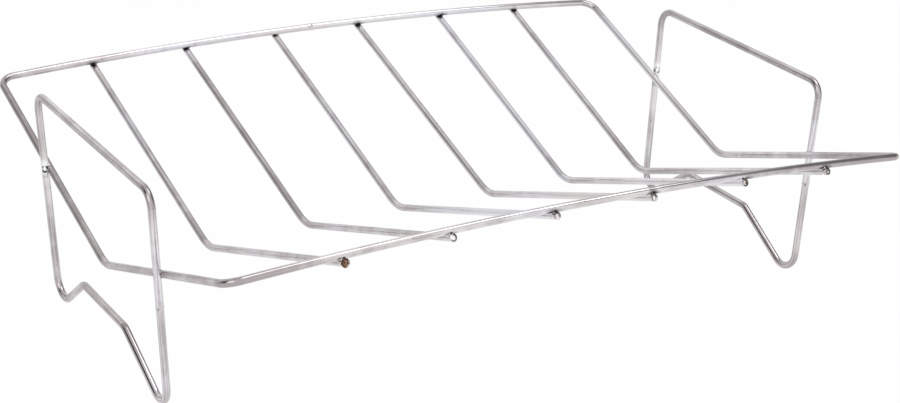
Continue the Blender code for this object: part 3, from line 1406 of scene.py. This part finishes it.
@dataclass
class EndLoop:
    """A closed wire at one end of the rack: a handle above and a pair of feet below."""

    side: Side
    fold: Fold
    ring: FrameRing
    wire_radius: float = 2.0 * MM
    top_radius: float = 9.0 * MM
    foot_radius: float = 10.0 * MM
    bridge_radius: float = 8.0 * MM
    height: float = 118.0 * MM
    top_rear_y: float = 68.5 * MM
    top_front_y: float = -65.5 * MM
    foot_rear_y: float = 60.5 * MM
    foot_front_y: float = -68.5 * MM
    bridge_rear_y: float = 26.0 * MM
    bridge_front_y: float = -25.5 * MM
    bridge_height: float = 23.5 * MM
    splay: float = math.radians(3.55)
    set_down: float = 1.2 * MM
    butt_weld_height: float = 56.0 * MM
    burnt_side: Vector = Vector((-0.70, -0.70, 0.0)).freeze()  # of the butt weld
    # how dark the welds' marks are: heat tint, with painted shade in the groove on the front side
    rear_char_and_shade: float = 0.70
    front_char_and_shade: float = 0.50
    # painted sheen round each weld, brightening the leg
    weld_painted_sheen: float = 0.55
    weld_painted_sheen_reach: float = 24.0 * MM
    # the scar that the rear weld left on the leg's front, with a painted highlight over it
    scar_side: Vector = Vector((-0.45, -0.89, 0.0)).freeze()
    scar_radius: float = 1.6 * MM
    scar_width: float = 0.42 * MM
    scar_char: float = 1.7
    scar_swelling: float = 0.22
    scar_swell_reach: float = 2.2 * MM
    # painted highlight over the scar
    scar_painted_highlight: float = 1.3
    scar_painted_highlight_reach: float = 4.5 * MM
    left_scar_rise: float = 0.5 * MM  # above the crossing
    right_scar_rise: float = 4.2 * MM
    # the burn on the leg below the rear weld
    burn_drop: float = 4.6 * MM
    burn_reach: float = 2.6 * MM
    burn_char: float = 0.75
    # where painted sheen makes the plate duller: y and z on the loop, reach and amount
    painted_sheens: tuple[tuple[float, float, float, float], ...] = (
        (0.040, 0.116, 50 * MM, -0.15),
        (-0.030, 0.116, 50 * MM, -0.30),
        (0.0, 0.022, 45 * MM, -0.25),
    )

    @property
    def name(self) -> str:
        """Returns the name of the loop's solid."""
        return f"{self.side.name.lower()}_end_loop"

    @property
    def spacing(self) -> float:
        """Returns how far apart the middle lines of the loop and the ring are."""
        return self.ring.wire_radius + self.wire_radius - self.set_down

    def outline(self) -> list[Vector]:
        """Draws the loop.

        Returns:
            The middle line as (y, z), from the butt weld in the front leg and downwards.
        """
        top = self.height - self.wire_radius - self.top_radius
        foot = self.wire_radius + self.foot_radius
        bridge = self.bridge_height - self.bridge_radius
        arcs = bent_round(
            [
                (Vector((self.foot_front_y, foot)), self.foot_radius),
                (Vector((self.bridge_front_y, bridge)), -self.bridge_radius),
                (Vector((self.bridge_rear_y, bridge)), -self.bridge_radius),
                (Vector((self.foot_rear_y, foot)), self.foot_radius),
                (Vector((self.top_rear_y, top)), self.top_radius),
                (Vector((self.top_front_y, top)), self.top_radius),
            ]
        )
        above, below = arcs[-1][-1], arcs[0][0]
        share = (above.y - self.butt_weld_height) / (above.y - below.y)
        return [above.lerp(below, share)] + [point for arc in arcs for point in arc]

    def legs(self) -> list[tuple[Vector, Vector]]:
        """Finds where the legs pass the ring's side bar.

        Returns:
            The place, and the way the leg runs, for the rear and the front leg, as (y, z).
        """
        outline = self.outline()
        found = []
        for start, end in zip(outline, outline[1:] + outline[:1]):
            above, below = (p.y - self.ring.side_bar(p.x).z for p in (start, end))
            if above * below < 0.0:
                found.append((start.lerp(end, above / (above - below)), end - start))
        return found

    def stand(self, point: Vector) -> Vector:
        """Stands the loop at its end of the rack, leaning outwards.

        Args:
            point: a point of the outline, as (y, z).

        Returns:
            Where it is on the standing loop.
        """
        legs = self.legs()
        level = sum(place.y for place, _ in legs) / len(legs)
        bar_x = sum(self.ring.side_bar(place.x).x for place, _ in legs) / len(legs)
        out = bar_x + self.spacing + (point.y - level) * math.tan(self.splay)
        return Vector((self.side.value * out, point.x, point.y))

    def crossings(self) -> list[Crossing]:
        """Finds the loop's welds to the ring's side bar.

        Returns:
            The weld of the rear leg and the one of the front leg.
        """
        found = []
        darkness_pair = (self.rear_char_and_shade, self.front_char_and_shade)
        for (place, way), leg, darkness in zip(self.legs(), ("rear", "front"), darkness_pair):
            on_loop = self.stand(place)
            bar_x = self.ring.side_bar(place.x).x
            on_ring = Vector((self.side.value * bar_x, on_loop.y, on_loop.z))
            slope = math.copysign(math.tan(self.fold.angle), on_ring.y)
            found.append(
                Crossing(
                    f"{self.name}_{leg}_weld",
                    on_loop,
                    on_ring,
                    (self.stand(place + way * 0.5) - on_loop).normalized(),
                    Vector((0.0, 1.0, slope)).normalized(),
                    self.wire_radius,
                    self.ring.wire_radius,
                    darkness,
                )
            )
        return found

    def scar(self) -> Vector:
        """Finds the scar that the rear weld left on the leg's front.

        Returns:
            The middle of the scar.
        """
        rises = {Side.LEFT: self.left_scar_rise, Side.RIGHT: self.right_scar_rise}
        rear = self.crossings()[0]
        facing = self.scar_side * self.wire_radius
        return rear.under + rear.under_axis * rises[self.side] + facing

    def build(self, finish: bpy.types.Material) -> bpy.types.Object:
        """Makes the loop.

        Args:
            finish: the plating of the loops.

        Returns:
            The loop's object.
        """
        line = [self.stand(point) for point in self.outline()]
        to_burn = self.burnt_side * self.wire_radius
        butt_weld = ButtWeld(line[0], to_burn, swelling=0.09, burn_reach=0.9 * MM, darkness=0.5)
        crossings = self.crossings()
        rear = crossings[0]
        scar = self.scar()
        burn = rear.under - rear.under_axis * self.burn_drop
        # painted sheen round the welds, and a painted highlight over the scar
        sheen_amount, sheen_reach = self.weld_painted_sheen, self.weld_painted_sheen_reach
        tone = [Spot(crossing.under, sheen_reach, sheen_amount) for crossing in crossings]
        tone.append(Spot(scar, self.scar_painted_highlight_reach, self.scar_painted_highlight))
        tone += [
            Spot(self.stand(Vector((y, z))), reach, amount) for y, z, reach, amount in self.painted_sheens
        ]
        mesh = WireMesh(
            f"{self.name}_wire",
            line,
            self.wire_radius,
            closed=True,
            swells=[
                butt_weld.swell(),
                Spot(scar, self.scar_swell_reach, self.scar_swelling),
            ],
            dents=[crossing.dent() for crossing in crossings],
            heat=[
                *(crossing.heat() for crossing in crossings),
                butt_weld.burn(),
                Halo(scar, self.scar_radius, self.scar_width, self.scar_char),
                Spot(burn, self.burn_reach, self.burn_char),
            ],
            tone=tone,
        )
        made = mesh.build(finish)
        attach(made, "root")
        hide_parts(self.name)
        return made


@dataclass
class RoastingRack:
    """The whole rack: one ring, six ribs, two end loops and the welds between them."""

    # for each rib from the left, in millimetres: how far it strays and how far it sags
    rear_wander: tuple[float, ...] = (-2.5, -1.5, 0.0, -0.5, 1.0, 0.0)
    fold_wander: tuple[float, ...] = (1.0, 2.0, 2.0, 4.5, 0.5, -2.5)
    front_wander: tuple[float, ...] = (-1.0, 0.0, 2.0, 3.5, 4.5, 3.0)
    fold_sag: tuple[float, ...] = (0.5, 0.0, 0.5, 2.0, 1.0, 1.4)
    # for each rib from the left: how much painted sheen brightens its two arms, and its cut end
    rear_painted_sheen: tuple[float, ...] = (0.15, -0.30, 0.15, 0.20, 0.65, 0.25)
    front_painted_sheen: tuple[float, ...] = (0.15, 0.10, 0.78, 0.72, 0.60, 0.15)
    front_ends: tuple[CutEnd, ...] = (
        CutEnd(EndState.RUSTED, math.radians(-40.0)),
        CutEnd(EndState.BRIGHT, math.radians(120.0)),
        CutEnd(EndState.YELLOWED, math.radians(0.0)),
        CutEnd(EndState.YELLOWED, math.radians(-20.0)),
        CutEnd(EndState.STAINED, math.radians(90.0)),
        CutEnd(EndState.STAINED, math.radians(80.0)),
    )
    ring_finish: Plating = Plating("ring_plating")
    rib_finish: Plating = Plating(
        "rib_plating", roughness=0.08, dullness=0.32, streakiness=0.40
    )
    loop_finish: Plating = Plating(
        "loop_plating", roughness=0.10, dullness=0.30, streakiness=0.50
    )
    flash_finish: Plating = Plating("weld_flash", roughness=0.12, dullness=0.40)

    def build(self) -> None:
        """Makes every piece and reports it."""
        fold = Fold()
        ring = FrameRing(fold)
        wanders = zip(self.rear_wander, self.fold_wander, self.front_wander)
        each = zip(self.front_ends, wanders, self.fold_sag, self.rear_painted_sheen, self.front_painted_sheen)
        ribs = [
            Rib(number, fold, ring, end, tuple(w * MM for w in wander), sag * MM, rear, front)
            for number, (end, wander, sag, rear, front) in enumerate(each)
        ]
        loops = [EndLoop(side, fold, ring) for side in Side]
        rib_welds = [crossing for rib in ribs for crossing in rib.crossings()]
        loop_welds = [crossing for loop in loops for crossing in loop.crossings()]
        ring_plating = self.ring_finish.material()
        self._report(ring.build(ring_plating, rib_welds + loop_welds))
        rib_plating = self.rib_finish.material()
        loop_plating = self.loop_finish.material()
        flash_plating = self.flash_finish.material()
        for rib in ribs:
            self._report(rib.build(rib_plating))
        for loop in loops:
            self._report(loop.build(loop_plating))
        for crossing in rib_welds + loop_welds:
            flash = crossing.build(flash_plating)
            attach(flash, "root")
            "rib_plate" if crossing in rib_welds else "loop_plate"
            self._report(flash)

    @staticmethod
    def _report(piece: bpy.types.Object) -> None:
        """Logs one piece and how many faces it has."""
        log.info("%s: %d faces", piece.name, len(piece.data.polygons))


# Studio


@dataclass(frozen=True)
class SoftBox:
    """A large, even lamp that faces the rack."""

    name: str
    place: tuple[float, float, float]
    target: tuple[float, float, float]
    width: float
    height: float
    brightness: float  # of its face, where 1 is white

    def build(self) -> None:
        """Adds the lamp to the scene."""
        light = bpy.data.lights.new(self.name, "AREA")
        light.shape = "RECTANGLE"
        light.size = self.width
        light.size_y = self.height
        light.energy = self.brightness * math.pi * self.width * self.height
        lamp = bpy.data.objects.new(self.name, light)
        aim = Vector(self.target) - Vector(self.place)
        turn = aim.to_track_quat("-Z", "Y").to_matrix().to_4x4()
        lamp.matrix_world = Matrix.Translation(self.place) @ turn
        bpy.context.scene.collection.objects.link(lamp)


@dataclass(frozen=True)
class Wall:
    """A stretch of the room past the white sweep, which only the metal shows."""

    azimuths: tuple[float, float]  # in degrees, from +Y towards +X
    elevations: tuple[float, float]  # in degrees
    brightness: float  # as a share of what the room has there without it
    fade: float = 9.0  # in degrees, over each edge

    def cover(self, azimuth: Signal, rise: Signal) -> Signal:
        """Finds how much of the wall is in a direction.

        Args:
            azimuth: the direction's azimuth in radians.
            rise: the sine of its elevation.

        Returns:
            The wall's share, from 0 to 1.
        """
        half = 0.5 * self.fade

        def band(
            signal: Signal, edges: tuple[float, float], measure: Callable[[float], float]
        ) -> Signal:
            """Fades in over one edge and out over the other.

            Args:
                signal: what is held against the edges.
                edges: the two edges in degrees.
                measure: turns degrees into what the signal holds.

            Returns:
                The band, which is 1 between the edges and 0 beyond them.
            """
            start, end = edges
            coming = signal.rising(measure(start - half), measure(start + half))
            going = signal.rising(measure(end - half), measure(end + half))
            return coming * (1.0 - going)

        across = band(azimuth, self.azimuths, math.radians)
        up = band(rise, self.elevations, lambda angle: math.sin(math.radians(angle)))
        return across * up


@dataclass(frozen=True)
class Studio:
    """White sweep, soft lamps and the camera."""

    floor_colour: Colour = (0.92, 0.92, 0.92, 1.0)
    floor_behind: Colour = (0.79, 0.79, 0.79, 1.0)  # as the metal shows it
    floor_turn: tuple[float, float] = (-0.16, 0.10)  # from which y on, and in full
    floor_glow: float = 0.98
    floor_half_width: float = 12.0
    ambient: float = 0.55
    room_behind: float = 0.80  # as the metal shows it, where the room in front is 1
    room_turn: tuple[float, float] = (100.0, 140.0)  # degrees from +Y to the room in front
    lamps: tuple[SoftBox, ...] = (
        SoftBox("right_softbox", (0.64, -0.12, 1.81), (-0.06, 0.03, 0.06), 0.9, 1.15, 1.6),
        SoftBox("left_softbox", (-1.25, -0.6, 0.95), (0.0, 0.0, 0.05), 0.9, 0.9, 1.1),
    )
    walls: tuple[Wall, ...] = (
        Wall((-88.0, -60.0), (10.0, 50.0), 0.08),
        Wall((-62.0, -36.0), (-4.0, 48.0), 0.56),
        Wall((60.0, 134.0), (4.0, 53.0), 0.34, 6.0),
        Wall((-20.0, 32.0), (14.0, 48.0), 1.30, 6.0),
        Wall((34.0, 60.0), (-24.0, 40.0), 0.74),
    )
    camera_place: tuple[float, float, float] = (-0.5648, -0.91593, 0.4947)
    camera_azimuth: float = math.radians(32.0115)
    camera_dip: float = math.radians(22.4813)
    camera_roll: float = math.radians(3.2924)
    lens: float = 82.72
    sensor: float = 36.0
    clip_end: float = 60.0

    def build(self) -> None:
        """Adds the floor, the world, the lamps and the camera."""
        self._floor()
        self._world()
        for lamp in self.lamps:
            lamp.build()
        self._camera()
        bpy.context.scene.view_settings.view_transform = "Standard"

    def _floor(self) -> None:
        """Adds the floor, which is white where no shadow falls on it."""
        half = self.floor_half_width
        mesh = bpy.data.meshes.new("floor")
        corners = [(-half, -half, 0.0), (half, -half, 0.0), (half, half, 0.0), (-half, half, 0.0)]
        mesh.from_pydata(corners, [], [(0, 1, 2, 3)])
        finish = bpy.data.materials.new("white_paper")
        finish.use_nodes = True
        graph = ShaderGraph(finish.node_tree)
        paper = graph.node("ShaderNodeBsdfDiffuse", sockets={"Color": self.floor_colour})
        _, y, _ = graph.parts(graph.place())
        behind = y.rising(*self.floor_turn) * graph.ray("Is Glossy Ray")
        white = graph.mixed(behind, WHITE, self.floor_behind)
        glow = graph.node("ShaderNodeEmission", sockets={"Color": white, "Strength": 1.0})
        glowing = graph.background_ray() * self.floor_glow
        mix = graph.node("ShaderNodeMixShader", sockets={0: glowing})
        graph.tree.links.new(paper.outputs[0], mix.inputs[1])
        graph.tree.links.new(glow.outputs[0], mix.inputs[2])
        graph.output("ShaderNodeOutputMaterial", mix.outputs[0])
        mesh.materials.append(finish)
        floor = bpy.data.objects.new("floor", mesh)
        bpy.context.scene.collection.objects.link(floor)

    def _world(self) -> None:
        """Sets a world that is white to the camera and has darker walls in the metal."""
        world = bpy.data.worlds.new("studio")
        world.use_nodes = True
        graph = ShaderGraph(world.node_tree)
        direction = graph.node("ShaderNodeTexCoord").outputs["Generated"]
        across, ahead, rise = graph.parts(Signal(graph, direction))
        azimuth = graph.math("ARCTAN2", across, ahead)
        turn = [math.radians(angle) for angle in self.room_turn]
        in_front = graph.math("ABSOLUTE", azimuth).rising(*turn)
        room = self.room_behind + (1.0 - self.room_behind) * in_front
        for wall in self.walls:
            room = room * (1.0 - (1.0 - wall.brightness) * wall.cover(azimuth, rise))
        shown = room.larger(graph.ray("Is Camera Ray"))
        seen = graph.background_ray()
        strength = shown * seen + self.ambient * (1.0 - seen)
        background = graph.node(
            "ShaderNodeBackground", sockets={"Color": WHITE, "Strength": strength}
        )
        graph.output("ShaderNodeOutputWorld", background.outputs[0])
        bpy.context.scene.world = world

    def _camera(self) -> None:
        """Adds the camera where the photograph was taken from."""
        level = Vector((math.sin(self.camera_azimuth), math.cos(self.camera_azimuth), 0.0))
        ahead = level * math.cos(self.camera_dip) - Vector((0.0, 0.0, math.sin(self.camera_dip)))
        right = ahead.cross(Vector((0.0, 0.0, 1.0))).normalized()
        up = right.cross(ahead)
        turn = Matrix.Rotation(-self.camera_roll, 3, ahead)
        axes = Matrix((turn @ right, turn @ up, -ahead)).transposed()
        data = bpy.data.cameras.new("camera")
        data.sensor_width = self.sensor
        data.lens = self.lens
        data.clip_end = self.clip_end
        camera = bpy.data.objects.new("camera", data)
        camera.matrix_world = Matrix.Translation(self.camera_place) @ axes.to_4x4()
        bpy.context.scene.collection.objects.link(camera)
        bpy.context.scene.camera = camera


def main() -> None:
    """Loads the frame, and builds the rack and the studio."""
    logging.basicConfig(level=logging.INFO, format="%(name)s: %(message)s")
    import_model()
    RoastingRack().build()
    Studio().build()
    bpy.context.view_layer.update()


if __name__ == "__main__":
    main()
